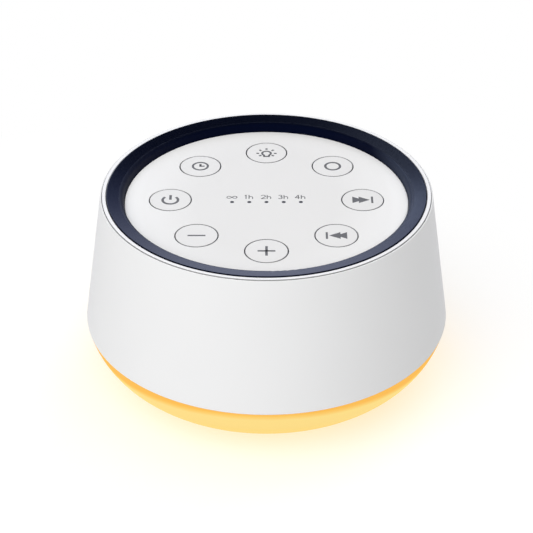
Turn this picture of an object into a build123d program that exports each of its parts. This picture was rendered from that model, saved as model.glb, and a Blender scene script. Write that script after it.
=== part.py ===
from build123d import *
from math import cos, radians, sin, sqrt, tan
import os

# Round bedside sound machine with a night light in its translucent bowl.
# Millimetres, +Z up. The origin is on the table, under the middle of the feet. -Y is the front.

# Case: heights are stacked from the table up, radii are of the round outside
foot_drop = 1.5
bowl_height = 18.15
shell_height = 41.73
shell_foot_radius = 55.3
shell_top_radius = 49.45
shell_wall = 2.2
shell_foot_round = 0.3
shell_rim_edge = 0.4
shell_rim_round = 0.16
ledge_depth = 10.0
ledge_thick = 1.8
ledge_width = 6.1
shell_boss_height = 9.8
shell_boss_radius = 2.8
boss_rib = 2.0

# Top: white lip, navy trim ring and the sunk key panel
lip_width = 1.23
lip_gap = 0.12
lip_round = 0.35
lip_step = 0.28
cover_wall_low = 6.5
cover_floor = 1.8
cover_land = 3.3
cover_rib = 1.8
cover_boss_inset = 1.2
ring_proud = 0.22
ring_dish = 11.0
ring_slope = 80.0
ring_shoulder = 1.2
ring_width = 5.32
ring_wall = 1.6
ring_foot = 0.85
ring_foot_width = 1.12
ring_gap = 0.08
panel_recess = 3.22
panel_thick = 1.8
panel_round = 0.25
panel_flange = 1.2
panel_flange_thick = 0.8

# Keys and what they press
key_inset = 13.59
key_radius = 6.14
key_gap = 0.24
key_edge = 0.14
key_flange = 0.76
key_flange_thick = 0.8
key_play = 0.1
key_wall = 1.5
key_roof = 1.2
key_stem_radius = 1.8
key_tab = 1.6
key_travel = 0.35
collar_gap = 0.25
collar_wall = 1.0
collar_depth = 2.4
switch_size = 6.2
switch_height = 3.5
switch_neck = 0.55
plunger_radius = 1.7
plunger_out = 0.8
plunger_flange = 0.55
plunger_flange_thick = 0.5
plunger_gap = 0.15
key_board_drop = 8.8
key_board_gap = 0.6
post_inset = 2.9
post_radius = 2.6

# Timer dots: one clear moulding, with a prong under each dot
dot_count = 5
dot_spacing = 5.13
dot_offset = -1.27
dot_radius = 0.57
dot_gap = 0.04
pipe_bar_depth = 3.0
pipe_bar_thick = 1.6
pipe_prong_radius = 1.0
led_height = 0.8
led_length = 2.0
led_width = 1.25
led_air = 0.3

# Boards and small electronics
board_thick = 1.6
main_board_inset = 4.0
main_board_post = 1.8
main_board_screw_inset = 5.0
tongue_width = 14.0
tongue_edge_gap = 1.2
chip_leg_gap = 0.1
capacitor_radius = 3.15
capacitor_height = 7.7
coil_size = 5.0
coil_height = 3.0
plug_edge_gap = 5.0
plug_length = 9.0
plug_depth = 4.4
plug_height = 4.8
ribbon_width = 12.0
ribbon_thick = 0.8
ribbon_plug_width = 14.0
ribbon_plug_depth = 4.5
ribbon_plug_height = 3.2
ribbon_plug_back = -14.0
ribbon_reach = 13.0
wire_radius = 0.5
wire_pitch = 2.0
wire_bend_share = 0.45
plug_wire_share = 0.6
tag_wire_share = 0.7
lead_inset = 4.5
lead_run = 6.0
lead_turn_drop = 4.0
light_wire_count = 4
light_wire_pitch = 1.6

# Power socket: USB-C receptacle on the main board's tongue
socket_width = 8.94
socket_height = 3.26
socket_length = 7.35
socket_skin = 0.3
socket_tongue_width = 6.69
socket_tongue_thick = 0.7
socket_tongue_inset = 0.9
socket_root = 1.47
socket_clearance = 0.2
plug_pocket_width = 13.0
plug_pocket_height = 7.6
plug_pocket_depth = 1.0

# Bowl, base cover and feet
bowl_tilt = 13.6
bowl_rim_inset = 0.15
bowl_wall = 2.0
bowl_flange_thick = 1.8
bowl_flange_reach = 3.5
bowl_flange_land = 3.2
spigot_gap = 0.2
spigot_wall = 2.0
spigot_height = 2.4
spigot_root = 3.0
base_cover_radius = 29.8
base_cover_thick = 2.2
base_screw_sink = 0.1
base_cover_gap = 0.15
base_edge_round = 0.3
grille_rings = 4
grille_pitch = 3.4
grille_hole_radius = 1.05
foot_inset = 1.3
foot_radius = 3.9
foot_sink = 0.8
foot_gap = 0.1
foot_round = 0.5

# Tub: the speaker's chamber, white outside to throw the night light at the bowl
tub_foot_radius = 31.3
tub_board_gap = 1.4
tub_wall = 2.0
tub_flange_thick = 2.0
tub_flange_gap = 0.3
speaker_port_radius = 18.2
lid_thick = 1.8
lid_spigot_depth = 1.5
lid_spigot_wall = 1.2
lid_spigot_gap = 0.3
lid_boss_inset = 2.4
lid_boss_height = 6.4
base_screw_inset = 3.8
base_boss_height = 4.9
boss_radius = 2.6
light_board_gap = 0.3
light_board_land = 0.8
light_board_inset = 13.6
light_board_thick = 1.2
light_count = 12
light_size = 5.0
light_height = 1.6
light_inset = 8.6
light_dish_radius = 2.0
light_dish_depth = 0.32
light_wire_slot = 7.6

# Speaker: 40 mm driver, facing down
gasket_thick = 0.5
frame_size = 40.0
frame_corner = 5.0
frame_plate = 0.7
frame_hole_inset = 3.5
frame_opening_radius = 17.0
basket_top_radius = 13.6
basket_depth = 7.0
basket_step = 1.2
seat_radius = 11.4
basket_window = 12.0
front_plate_radius = 11.6
front_plate_thick = 2.0
magnet_radius = 15.0
magnet_bore = 9.0
magnet_thick = 4.4
yoke_radius = 12.6
yoke_thick = 2.0
pole_radius = 6.2
coil_inner_radius = 6.5
coil_outer_radius = 6.9
coil_gap = 0.3
cone_edge_radius = 15.2
cone_depth = 5.0
cone_thick = 0.45
surround_rim = 1.5
surround_thick = 0.3
spider_thick = 0.35
spider_waves = 3
spider_wave_height = 0.35
dust_cap_height = 1.8
chamber_headroom = 1.5
terminal_width = 6.0
terminal_height = 5.0
terminal_thick = 1.0
speaker_lead_y = 9.0

# Screws: shank radius, then shared shares of the pan head
screw_radius = 1.25
small_screw_radius = 1.0
screw_head_ratio = 1.9
screw_head_height = 1.3
screw_round_share = 0.45
screw_cross_reach = 1.3
screw_cross = 0.5
screw_cross_depth = 0.7
screw_bite = 4.0
screw_gap = 0.03
hole_gap = 0.25
touch_gap = 0.1

# Heights worked out from the stack
base_z = foot_drop
skirt_z = base_z + bowl_height
shell_rim_z = skirt_z + shell_height
rim_z = shell_rim_z + lip_step
panel_z = rim_z - panel_recess
ring_top_z = rim_z + ring_proud
panel_under_z = panel_z - panel_thick
panel_flange_z = panel_under_z + panel_flange_thick
ledge_top_z = rim_z - ledge_depth
cover_floor_z = rim_z - cover_wall_low
cover_under_z = cover_floor_z - cover_floor
key_board_z = panel_under_z - key_board_drop
switch_top_z = key_board_z + switch_height
plunger_top_z = switch_top_z + plunger_out
key_flange_z = panel_under_z - key_play
bowl_flange_z = base_z + base_cover_thick
tub_z = bowl_flange_z + bowl_flange_thick
tub_floor_z = tub_z + tub_wall
spigot_top_z = skirt_z + spigot_height
tub_flange_z = spigot_top_z + spigot_gap
tub_flange_top_z = tub_flange_z + tub_flange_thick
frame_z = tub_floor_z + gasket_thick
seat_z = frame_z + basket_depth
basket_top_z = seat_z + basket_step + frame_plate
magnet_z = basket_top_z + front_plate_thick
yoke_z = magnet_z + magnet_thick
chamber_top_z = yoke_z + yoke_thick + chamber_headroom
lid_top_z = chamber_top_z + lid_thick
main_board_z = lid_top_z + main_board_post
main_board_top_z = main_board_z + board_thick
socket_z = main_board_top_z + socket_height / 2
light_board_z = tub_flange_z - light_board_thick


def shell_outer_at(z):
    climb = (z - skirt_z) / shell_height
    return shell_foot_radius + climb * (shell_top_radius - shell_foot_radius)


def shell_inner_at(z):
    return shell_outer_at(z) - shell_wall


# Radii worked out from their neighbours
shell_bore_radius = shell_top_radius - shell_rim_edge
cover_radius = shell_bore_radius - lip_gap
cover_wall_radius = cover_radius - lip_width
ring_radius = cover_wall_radius - ring_gap
panel_radius = ring_radius - ring_width
panel_flange_radius = panel_radius + panel_flange
cover_inner_radius = panel_radius - cover_land
key_pitch_radius = panel_radius - key_inset
key_hole_radius = key_radius + key_gap
key_flange_radius = key_radius + key_flange
collar_radius = key_flange_radius + collar_gap
key_board_radius = cover_inner_radius - key_board_gap
post_pitch_radius = key_board_radius - post_inset
spigot_radius = shell_inner_at(spigot_top_z) - spigot_gap
spigot_inner_radius = spigot_radius - spigot_wall
tub_flange_radius = shell_inner_at(tub_flange_top_z) - tub_flange_gap
light_board_radius = spigot_inner_radius - light_board_gap
light_board_inner = shell_foot_radius - light_board_inset
light_pitch_radius = shell_foot_radius - light_inset
light_wire_x = light_board_inner + 3 * wire_radius
tub_top_radius = light_board_inner - tub_board_gap
lid_boss_pitch = tub_top_radius - tub_wall - lid_boss_inset
main_board_radius = tub_top_radius - main_board_inset
main_board_pitch = main_board_radius - main_board_screw_inset
base_boss_pitch = base_cover_radius - base_screw_inset
bowl_flange_inner = base_boss_pitch - bowl_flange_reach
bowl_flange_outer = base_cover_radius + bowl_flange_land
foot_pitch_radius = base_cover_radius - foot_radius - foot_inset
frame_hole_spacing = frame_size - 2 * frame_hole_inset
screw_head_radius = screw_radius * screw_head_ratio
shell_boss_pitch = light_board_radius - light_board_land - hole_gap - screw_head_radius
cover_boss_pitch = shell_bore_radius - post_radius - cover_boss_inset
plug_floor_y = shell_outer_at(socket_z) - plug_pocket_depth
tongue_y = shell_inner_at(main_board_z) - tongue_edge_gap
plug_x = main_board_radius - plug_depth - plug_edge_gap
lead_x = tub_top_radius - tub_wall - lead_inset
plug_wire_z = main_board_top_z + plug_wire_share * plug_height
base_screw_seat_z = base_z + screw_head_height + base_screw_sink

key_angles = {
    "light": 90,
    "timer": 135,
    "power": 180,
    "volume_down": 225,
    "volume_up": 270,
    "previous": 315,
    "next": 0,
    "colour": 45,
}
post_angle = 22.5
corner_angle = 45.0

# Length, width and height of the chips
controller_box = (9.0, 9.0, 1.2)
amplifier_box = (6.2, 5.0, 1.6)
memory_box = (5.3, 4.0, 1.5)

# Share of the main board's radius, and angle
controller_spot = (0.1, 90)
amplifier_spot = (0.45, 210)
memory_spot = (0.47, 45)
coil_spot = (0.73, 65)
capacitor_spots = [(0.76, 126), (0.7, 108), (0.58, 343)]


def disc(radius, low, high):
    return Pos(0, 0, low) * Cylinder(radius, high - low, align=(Align.CENTER, Align.CENTER, Align.MIN))


def tube(outer, inner, low, high):
    return disc(outer, low, high) - disc(inner, low, high)


def block(size_x, size_y, low, high):
    centred = (Align.CENTER, Align.CENTER, Align.MIN)
    return Pos(0, 0, low) * Box(size_x, size_y, high - low, align=centred)


# A closed outline of (radius, height) corners, each with its own rounding, turned about +Z
def turned(corners, rounds=0.0):
    outline = FilletPolyline(*corners, radius=rounds, close=True)
    return revolve(Plane.XZ * make_face(outline.edges()), Axis.Z)


# Pan-head screw with a cross recess. The head's seat is at z = 0 and the shank points up.
def screw(radius, grip):
    head_radius = radius * screw_head_ratio
    head = turned(
        [(0, 0), (head_radius, 0), (head_radius, -screw_head_height), (0, -screw_head_height)],
        [0, 0, screw_round_share * screw_head_height, 0],
    )
    slot_length = screw_cross_reach * head_radius
    slot = block(slot_length, screw_cross, -screw_head_height, screw_cross_depth - screw_head_height)
    body = head + disc(radius, 0, grip + screw_bite)
    return body - slot - Rot(Z=90) * slot


def screws_at(places, radius, grip, seat_z):
    return [place * Pos(0, 0, seat_z) * screw(radius, grip) for place in places]


def screws_down_at(places, radius, grip, seat_z):
    turned_over = Pos(0, 0, seat_z) * Rot(X=180)
    return [place * turned_over * screw(radius, grip) for place in places]


def at_corners(radius):
    return PolarLocations(radius, 4, corner_angle)


def at_posts(radius):
    return PolarLocations(radius, 4, post_angle)


# Each arc of a wire is as large as its two runs allow
def bend_radii(points):
    corners = [Vector(*p) for p in points]
    radii = []
    for before, here, after in zip(corners, corners[1:], corners[2:]):
        turn = (here - before).get_angle(after - here)
        run = min((here - before).length, (after - here).length)
        radii.append(wire_bend_share * run / tan(radians(turn) / 2))
    return radii


def wire(points):
    path = FilletPolyline(*points, radius=bend_radii(points))
    section = Plane(origin=path @ 0, z_dir=path % 0) * Circle(wire_radius)
    return sweep(section, path)


# ---- Case ----


def outer_shell():
    ledge_low_z = ledge_top_z - ledge_thick
    ledge_radius = shell_bore_radius - ledge_width
    shell = turned(
        [
            (shell_foot_radius, skirt_z),
            (shell_top_radius, shell_rim_z),
            (shell_bore_radius, shell_rim_z),
            (shell_bore_radius, ledge_top_z),
            (ledge_radius, ledge_top_z),
            (ledge_radius, ledge_low_z),
            (shell_inner_at(ledge_low_z), ledge_low_z),
            (shell_inner_at(skirt_z), skirt_z),
        ],
        [shell_foot_round, shell_rim_round, shell_rim_round, 0, shell_foot_round, 0, 0, 0],
    )
    boss_top_z = tub_flange_top_z + shell_boss_height
    rib_end = shell_inner_at(boss_top_z) + shell_wall / 2
    rib_length = rib_end - shell_boss_pitch
    rib = Pos(rib_length / 2, 0, 0) * block(rib_length, boss_rib, tub_flange_top_z, boss_top_z)
    boss = disc(shell_boss_radius, tub_flange_top_z, boss_top_z) + rib
    pilot = disc(screw_radius + screw_gap, tub_flange_top_z, tub_flange_top_z + screw_bite + touch_gap)
    shell += [place * boss for place in at_corners(shell_boss_pitch)]
    shell -= [place * pilot for place in at_corners(shell_boss_pitch)]
    ledge_hole = disc(screw_radius + hole_gap, ledge_low_z, ledge_top_z)
    shell -= [place * ledge_hole for place in at_corners(cover_boss_pitch)]
    mouth = Plane(origin=(0, plug_floor_y, socket_z), x_dir=(1, 0, 0), z_dir=(0, 1, 0))
    pocket = extrude(mouth * SlotOverall(plug_pocket_width, plug_pocket_height), shell_wall)
    hole_size = (socket_width + 2 * socket_clearance, socket_height + 2 * socket_clearance)
    hole = extrude(mouth * SlotOverall(*hole_size), shell_wall, both=True)
    return shell - pocket - hole


def top_cover():
    cover = turned(
        [
            (cover_wall_radius, rim_z),
            (cover_radius, rim_z),
            (cover_radius, cover_under_z),
            (cover_inner_radius, cover_under_z),
            (cover_inner_radius, panel_under_z),
            (cover_inner_radius + cover_rib, panel_under_z),
            (cover_inner_radius + cover_rib, cover_floor_z),
            (cover_wall_radius, cover_floor_z),
        ],
        [lip_round, shell_rim_round, shell_foot_round, 0, 0, 0, 0, 0],
    )
    boss = disc(post_radius, ledge_top_z, cover_under_z)
    pilot = disc(screw_radius + screw_gap, ledge_top_z, ledge_top_z + ledge_bite())
    cover += [place * boss for place in at_corners(cover_boss_pitch)]
    return cover - [place * pilot for place in at_corners(cover_boss_pitch)]


# Thread that the top cover's screws have in boss and floor, short of the floor's upper face
def ledge_bite():
    return cover_floor_z - ledge_top_z - cover_floor / 3


def ring_top_at(radius):
    # the ring's top falls away gently towards the panel
    return ring_top_z - (ring_radius - radius) * tan(radians(ring_dish))


def trim_ring():
    foot_radius_in = panel_radius + ring_gap
    foot_top_z = panel_flange_z + ring_foot
    steeper = tan(radians(ring_slope)) - tan(radians(ring_dish))
    crest_radius = foot_radius_in + (ring_top_at(foot_radius_in) - foot_top_z) / steeper
    roof_radii = (ring_radius - ring_wall, crest_radius + ring_wall / 2)
    roof = [(radius, ring_top_at(radius) - ring_wall) for radius in roof_radii]
    return turned(
        [
            (ring_radius, ring_top_z),
            (ring_radius, cover_floor_z),
            (ring_radius - ring_wall, cover_floor_z),
            *roof,
            (foot_radius_in + ring_foot_width, panel_flange_z),
            (foot_radius_in, panel_flange_z),
            (foot_radius_in, foot_top_z),
            (crest_radius, ring_top_at(crest_radius)),
        ],
        [shell_rim_round, 0, 0, 0, 0, 0, 0, 0, ring_shoulder],
    )


# ---- Key panel, keys and key board ----


def key_places():
    return {name: Rot(Z=angle) * Pos(key_pitch_radius, 0, 0) for name, angle in key_angles.items()}


def dot_places():
    first = -(dot_count - 1) / 2
    return [Pos((first + i) * dot_spacing, dot_offset, 0) for i in range(dot_count)]


def key_panel():
    panel = turned(
        [
            (0, panel_z),
            (panel_radius, panel_z),
            (panel_radius, panel_flange_z),
            (panel_flange_radius, panel_flange_z),
            (panel_flange_radius, panel_under_z),
            (0, panel_under_z),
        ],
        [0, panel_round, 0, 0, 0, 0],
    )
    places = key_places().values()
    rim_low_z = panel_z - key_edge
    rim_radius = key_hole_radius + key_edge
    key_hole = disc(key_hole_radius, panel_under_z, panel_z)
    key_hole += disc(rim_radius, rim_low_z, panel_z) - Pos(0, 0, rim_low_z) * Torus(rim_radius, key_edge)
    panel -= [place * key_hole for place in places]
    collar = tube(collar_radius + collar_wall, collar_radius, panel_under_z - collar_depth, panel_under_z)
    tab_slot = Pos(collar_radius, 0, 0) * block(
        4 * collar_wall, key_tab + 2 * collar_gap, panel_under_z - collar_depth, panel_under_z
    )
    collar -= tab_slot
    post = disc(post_radius, key_board_z, panel_under_z)
    pilot = disc(small_screw_radius + screw_gap, key_board_z, key_board_z + screw_bite + touch_gap)
    panel += [place * collar for place in places]
    panel += [place * post for place in at_posts(post_pitch_radius)]
    panel -= [place * pilot for place in at_posts(post_pitch_radius)]
    dot_hole = disc(dot_radius + dot_gap, panel_under_z, panel_z)
    return panel - [place * dot_hole for place in dot_places()]


# One key, its cap flush with the panel, held up under it by the flange. The tab keeps it from turning.
def key():
    flange_low_z = key_flange_z - key_flange_thick
    core_z = panel_z - key_roof
    cap = turned(
        [
            (0, panel_z),
            (key_radius, panel_z),
            (key_radius, key_flange_z),
            (key_flange_radius, key_flange_z),
            (key_flange_radius, flange_low_z),
            (key_radius - key_wall, flange_low_z),
            (key_radius - key_wall, core_z),
            (key_stem_radius, core_z),
            (key_stem_radius, plunger_top_z),
            (0, plunger_top_z),
        ],
        [0, key_edge, 0, 0, 0, 0, 0, 0, 0, 0],
    )
    tab_end = collar_radius + collar_wall / 2
    tab_start = key_flange_radius - key_flange
    tab = Pos((tab_start + tab_end) / 2, 0, 0) * block(
        tab_end - tab_start, key_tab, flange_low_z, key_flange_z
    )
    return cap + tab


def plunger_low_z():
    return switch_top_z - switch_neck - plunger_gap - plunger_flange_thick


def switch_plunger():
    low_z = plunger_low_z()
    return disc(plunger_radius, low_z, plunger_top_z) + disc(
        plunger_radius + plunger_flange, low_z, low_z + plunger_flange_thick
    )


def switch_body():
    cavity_z = plunger_low_z() - key_travel - plunger_gap
    cavity_radius = plunger_radius + plunger_flange + plunger_gap
    body = block(switch_size, switch_size, key_board_z, switch_top_z)
    body = chamfer(body.edges().filter_by(Axis.Z), plunger_gap * 3)
    body -= disc(cavity_radius, cavity_z, switch_top_z - switch_neck)
    return body - disc(plunger_radius + plunger_gap, cavity_z, switch_top_z)


def light_pipe():
    bar_z = panel_under_z - pipe_bar_thick
    bar_length = (dot_count - 1) * dot_spacing + pipe_bar_depth
    bar = extrude(
        Pos(0, dot_offset, bar_z) * SlotOverall(bar_length, pipe_bar_depth), pipe_bar_thick
    )
    prong = disc(dot_radius, panel_under_z, panel_z)
    prong += disc(pipe_prong_radius, key_board_z + led_height + led_air, bar_z)
    return bar + [place * prong for place in dot_places()]


def indicator_leds():
    led = block(led_length, led_width, key_board_z, key_board_z + led_height)
    return [place * led for place in dot_places()]


def key_board():
    low_z = key_board_z - board_thick
    hole = disc(small_screw_radius + hole_gap, low_z, key_board_z)
    board = disc(key_board_radius, low_z, key_board_z)
    return board - [place * hole for place in at_posts(post_pitch_radius)]


# ---- Bowl, base cover and feet ----


def bowl():
    drop = skirt_z - base_z
    arc_radius = drop / (1 - sin(radians(bowl_tilt)))
    rim_radius = shell_foot_radius - bowl_rim_inset
    centre_x = rim_radius - arc_radius * cos(radians(bowl_tilt))
    centre_z = base_z + arc_radius
    inner_radius = arc_radius - bowl_wall
    outer_arc = CenterArc((centre_x, centre_z), arc_radius, 270, 90 - bowl_tilt)
    inner_x = centre_x + sqrt(inner_radius**2 - (centre_z - skirt_z) ** 2)
    middle = radians(corner_angle)
    inner_arc = ThreePointArc(
        (inner_x, skirt_z),
        (centre_x + inner_radius * sin(middle), centre_z - inner_radius * cos(middle)),
        (centre_x, base_z + bowl_wall),
    )
    closing = [
        Line(outer_arc @ 1, inner_arc @ 0),
        Polyline(
            inner_arc @ 1,
            (bowl_flange_inner, base_z + bowl_wall),
            (bowl_flange_inner, base_z),
            outer_arc @ 0,
        ),
    ]
    skin = revolve(Plane.XZ * make_face([outer_arc, inner_arc] + closing), Axis.Z)
    recess_radius = base_cover_radius + base_cover_gap
    skin += tube(bowl_flange_outer, bowl_flange_inner, base_z, tub_z)
    skin -= disc(recess_radius, base_z, bowl_flange_z)
    skin += tube(spigot_radius, spigot_inner_radius, skirt_z - spigot_root, spigot_top_z)
    hole = disc(screw_radius + hole_gap, base_z, tub_z)
    return skin - [place * hole for place in base_screw_places()]


def base_screw_places():
    return PolarLocations(base_boss_pitch, 4)


def foot_places():
    return at_corners(foot_pitch_radius)


def base_cover():
    top_z = bowl_flange_z
    cover = turned(
        [(0, base_z), (base_cover_radius, base_z), (base_cover_radius, top_z), (0, top_z)],
        [0, base_edge_round, 0, 0],
    )
    holes = [Pos(0, 0)]
    for ring in range(1, grille_rings + 1):
        holes += PolarLocations(ring * grille_pitch, 6 * ring)
    grille = Sketch() + [place * Circle(grille_hole_radius) for place in holes]
    cover -= extrude(Pos(0, 0, base_z) * grille, base_cover_thick)
    foot_recess = disc(foot_radius + foot_gap, base_z, base_z + foot_sink)
    cover -= [place * foot_recess for place in foot_places()]
    screw_hole = disc(screw_radius + hole_gap, base_z, top_z)
    head_recess = disc(screw_head_radius + hole_gap, base_z, base_screw_seat_z)
    return cover - [place * (screw_hole + head_recess) for place in base_screw_places()]


def foot():
    top_z = base_z + foot_sink
    return turned(
        [(0, 0), (foot_radius, 0), (foot_radius, top_z), (0, top_z)],
        [0, foot_round, 0, 0],
    )


# ---- Tub and lid ----


def reflector_tub():
    wall_low = tub_foot_radius
    wall_high = tub_top_radius
    filled = turned([
        (0, tub_z),
        (wall_low, tub_z),
        (wall_high, tub_flange_z),
        (wall_high, chamber_top_z),
        (0, chamber_top_z),
    ])
    hollow = turned([
        (0, tub_floor_z),
        (wall_low - tub_wall, tub_floor_z),
        (wall_high - tub_wall, tub_flange_z),
        (wall_high - tub_wall, chamber_top_z),
        (0, chamber_top_z),
    ])
    shape = filled - hollow + tube(
        tub_flange_radius, wall_high - tub_wall, tub_flange_z, tub_flange_top_z
    )
    lid_boss = disc(boss_radius, chamber_top_z - lid_boss_height, chamber_top_z)
    base_boss = disc(boss_radius, tub_floor_z, tub_floor_z + base_boss_height)
    bosses = [place * lid_boss for place in at_corners(lid_boss_pitch)]
    bosses += [place * base_boss for place in base_screw_places()]
    shape += [boss & filled for boss in bosses]
    lid_pilot = disc(small_screw_radius + screw_gap, chamber_top_z - screw_bite - touch_gap, chamber_top_z)
    base_pilot_top_z = tub_z + screw_bite + touch_gap
    base_pilot = disc(screw_radius + screw_gap, tub_z, base_pilot_top_z)
    shape -= [place * lid_pilot for place in at_corners(lid_boss_pitch)]
    shape -= [place * base_pilot for place in base_screw_places()]
    shape -= disc(speaker_port_radius, tub_z, tub_floor_z)
    speaker_pilot = disc(small_screw_radius + screw_gap, tub_z, tub_floor_z)
    shape -= [place * speaker_pilot for place in frame_hole_places()]
    shell_screw_hole = disc(screw_radius + hole_gap, tub_flange_z, tub_flange_top_z)
    shape -= [place * shell_screw_hole for place in at_corners(shell_boss_pitch)]
    shape -= light_wire_cut(tub_flange_z, tub_flange_top_z)
    rest = Pos(0, tongue_y - boss_rib, 0) * block(tongue_width, boss_rib, tub_flange_top_z, main_board_z)
    return shape + rest


def light_wire_cut(low_z, high_z):
    slot_low = light_board_inner - hole_gap
    slot_high = light_wire_x + 2 * wire_radius
    middle = (slot_low + slot_high) / 2
    return Pos(middle, 0, 0) * block(slot_high - slot_low, light_wire_slot, low_z, high_z)


def frame_hole_places():
    return GridLocations(frame_hole_spacing, frame_hole_spacing, 2, 2)


def main_board_places():
    return at_posts(main_board_pitch)


def chamber_lid():
    spigot_radius_out = tub_top_radius - tub_wall - lid_spigot_gap
    spigot_low_z = chamber_top_z - lid_spigot_depth
    lid = disc(tub_top_radius, chamber_top_z, lid_top_z)
    spigot = tube(spigot_radius_out, spigot_radius_out - lid_spigot_wall, spigot_low_z, chamber_top_z)
    boss_room = disc(boss_radius + lid_spigot_gap, spigot_low_z, chamber_top_z)
    lid += spigot - [place * boss_room for place in at_corners(lid_boss_pitch)]
    post = disc(boss_radius, lid_top_z, main_board_z)
    lid += [place * post for place in main_board_places()]
    post_pilot_low_z = main_board_z - main_post_bite()
    post_pilot = disc(small_screw_radius + screw_gap, post_pilot_low_z, main_board_z)
    lid -= [place * post_pilot for place in main_board_places()]
    lid_hole = disc(small_screw_radius + hole_gap, chamber_top_z, lid_top_z)
    lid -= [place * lid_hole for place in at_corners(lid_boss_pitch)]
    lead_hole = disc(wire_pitch + wire_radius, spigot_low_z, lid_top_z)
    return lid - Pos(-lead_x, speaker_lead_y, 0) * lead_hole


# Thread that the main board's screws have in post and lid, short of the chamber
def main_post_bite():
    return main_board_post + lid_thick / 2


# ---- Night light ----


def light_board():
    board = tube(light_board_radius, light_board_inner, light_board_z, tub_flange_z)
    head_room = disc(screw_head_radius + hole_gap, light_board_z, tub_flange_z)
    return board - [place * head_room for place in at_corners(shell_boss_pitch)]


def night_leds():
    low_z = light_board_z - light_height
    led = block(light_size, light_size, low_z, light_board_z)
    led -= disc(light_dish_radius, low_z, low_z + light_dish_depth)
    return [place * led for place in PolarLocations(light_pitch_radius, light_count)]


# ---- Speaker ----


def frame_plan(margin=0.0):
    return RectangleRounded(frame_size - 2 * margin, frame_size - 2 * margin, frame_corner - margin)


def speaker_gasket():
    ring = frame_plan(touch_gap) - Circle(frame_opening_radius + surround_rim + hole_gap)
    ring -= [place * Circle(small_screw_radius + hole_gap) for place in frame_hole_places()]
    return extrude(Pos(0, 0, tub_floor_z) * ring, gasket_thick)


def speaker_basket():
    plate = frame_plan() - Circle(frame_opening_radius)
    plate -= [place * Circle(small_screw_radius + hole_gap) for place in frame_hole_places()]
    basket = extrude(Pos(0, 0, frame_z) * plate, frame_plate)
    step_z = seat_z + basket_step
    bore = coil_outer_radius + 2 * coil_gap
    basket += turned([
        (frame_opening_radius, frame_z),
        (frame_opening_radius + frame_plate, frame_z),
        (basket_top_radius, seat_z + frame_plate),
        (seat_radius + frame_plate, seat_z + frame_plate),
        (seat_radius + frame_plate, basket_top_z),
        (bore, basket_top_z),
        (bore, step_z),
        (seat_radius, step_z),
        (seat_radius, seat_z),
        (basket_top_radius - frame_plate, seat_z),
    ])
    window_low_z = frame_z + 2 * frame_plate
    window = Pos(frame_opening_radius, 0, 0) * block(
        frame_opening_radius, basket_window, window_low_z, seat_z - frame_plate
    )
    places = PolarLocations(0, 4, corner_angle)
    return basket - [place * window for place in places]


def speaker_front_plate():
    return tube(front_plate_radius, coil_outer_radius + coil_gap, basket_top_z, magnet_z)


def speaker_magnet():
    return turned(
        [
            (magnet_bore, magnet_z),
            (magnet_radius, magnet_z),
            (magnet_radius, yoke_z),
            (magnet_bore, yoke_z),
        ],
        [0, screw_cross, screw_cross, 0],
    )


def speaker_yoke():
    return disc(pole_radius, basket_top_z - touch_gap, yoke_z) + disc(
        yoke_radius, yoke_z, yoke_z + yoke_thick
    )


def cone_apex_z():
    return frame_z + cone_depth


def voice_coil():
    return tube(coil_outer_radius, coil_inner_radius, cone_apex_z(), magnet_z - touch_gap)


def speaker_cone():
    return turned([
        (coil_outer_radius, cone_apex_z()),
        (cone_edge_radius, frame_z),
        (cone_edge_radius, frame_z + cone_thick),
        (coil_outer_radius, cone_apex_z() + cone_thick),
    ])


def dust_cap():
    top_z = cone_apex_z()
    rim = coil_outer_radius
    outside = ThreePointArc((-rim, top_z), (0, top_z - dust_cap_height), (rim, top_z))
    half = make_face([outside, Line((rim, top_z), (-rim, top_z))])
    dome = revolve(Plane.XZ * (half & Pos(rim / 2, top_z) * Rectangle(rim, 2 * top_z)), Axis.Z)
    return dome - Pos(0, 0, cone_thick) * dome


def surround():
    roll_middle = (cone_edge_radius + frame_opening_radius) / 2
    roll_outer = (frame_opening_radius - cone_edge_radius) / 2 + surround_thick / 2
    flat_z = frame_z - surround_thick / 2
    half_roll = Circle(roll_outer) - Circle(roll_outer - surround_thick)
    half_roll &= Pos(0, -roll_outer / 2) * Rectangle(2 * roll_outer, roll_outer)
    section = Pos(roll_middle, frame_z) * half_roll
    flats = [
        (cone_edge_radius - surround_rim / 2, roll_middle - roll_outer + surround_thick),
        (roll_middle + roll_outer - surround_thick, frame_opening_radius + surround_rim),
    ]
    for inner, outer in flats:
        section += Pos((inner + outer) / 2, flat_z) * Rectangle(outer - inner, surround_thick)
    return revolve(Plane.XZ * section, Axis.Z)


def spider():
    low_z = seat_z - spider_thick
    rim = tube(basket_top_radius - frame_plate, seat_radius - spider_thick, low_z, seat_z)
    steps = 2 * spider_waves
    step = (seat_radius - coil_outer_radius) / steps
    under = [
        (coil_outer_radius + i * step, low_z + (spider_wave_height if i % 2 else 0))
        for i in range(steps + 1)
    ]
    over = [(x, z + spider_thick) for x, z in reversed(under)]
    return rim + turned(under + over)


def speaker_terminal():
    x = -(frame_size / 2 - terminal_thick / 2)
    tag_z = frame_z + frame_plate
    return Pos(x, speaker_lead_y, 0) * block(terminal_thick, terminal_width, tag_z, tag_z + terminal_height)


# ---- Main board ----


def main_board():
    board = disc(main_board_radius, main_board_z, main_board_top_z)
    board += Pos(0, tongue_y / 2, 0) * block(tongue_width, tongue_y, main_board_z, main_board_top_z)
    hole = disc(small_screw_radius + hole_gap, main_board_z, main_board_top_z)
    board -= [place * hole for place in main_board_places()]
    notch_width = 2 * wire_pitch + 2 * wire_radius
    notch_low = lead_x - wire_pitch
    notch = Pos(-(notch_low + main_board_radius) / 2, speaker_lead_y, 0) * block(
        main_board_radius - notch_low, notch_width, main_board_z, main_board_top_z
    )
    return board - notch


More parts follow.
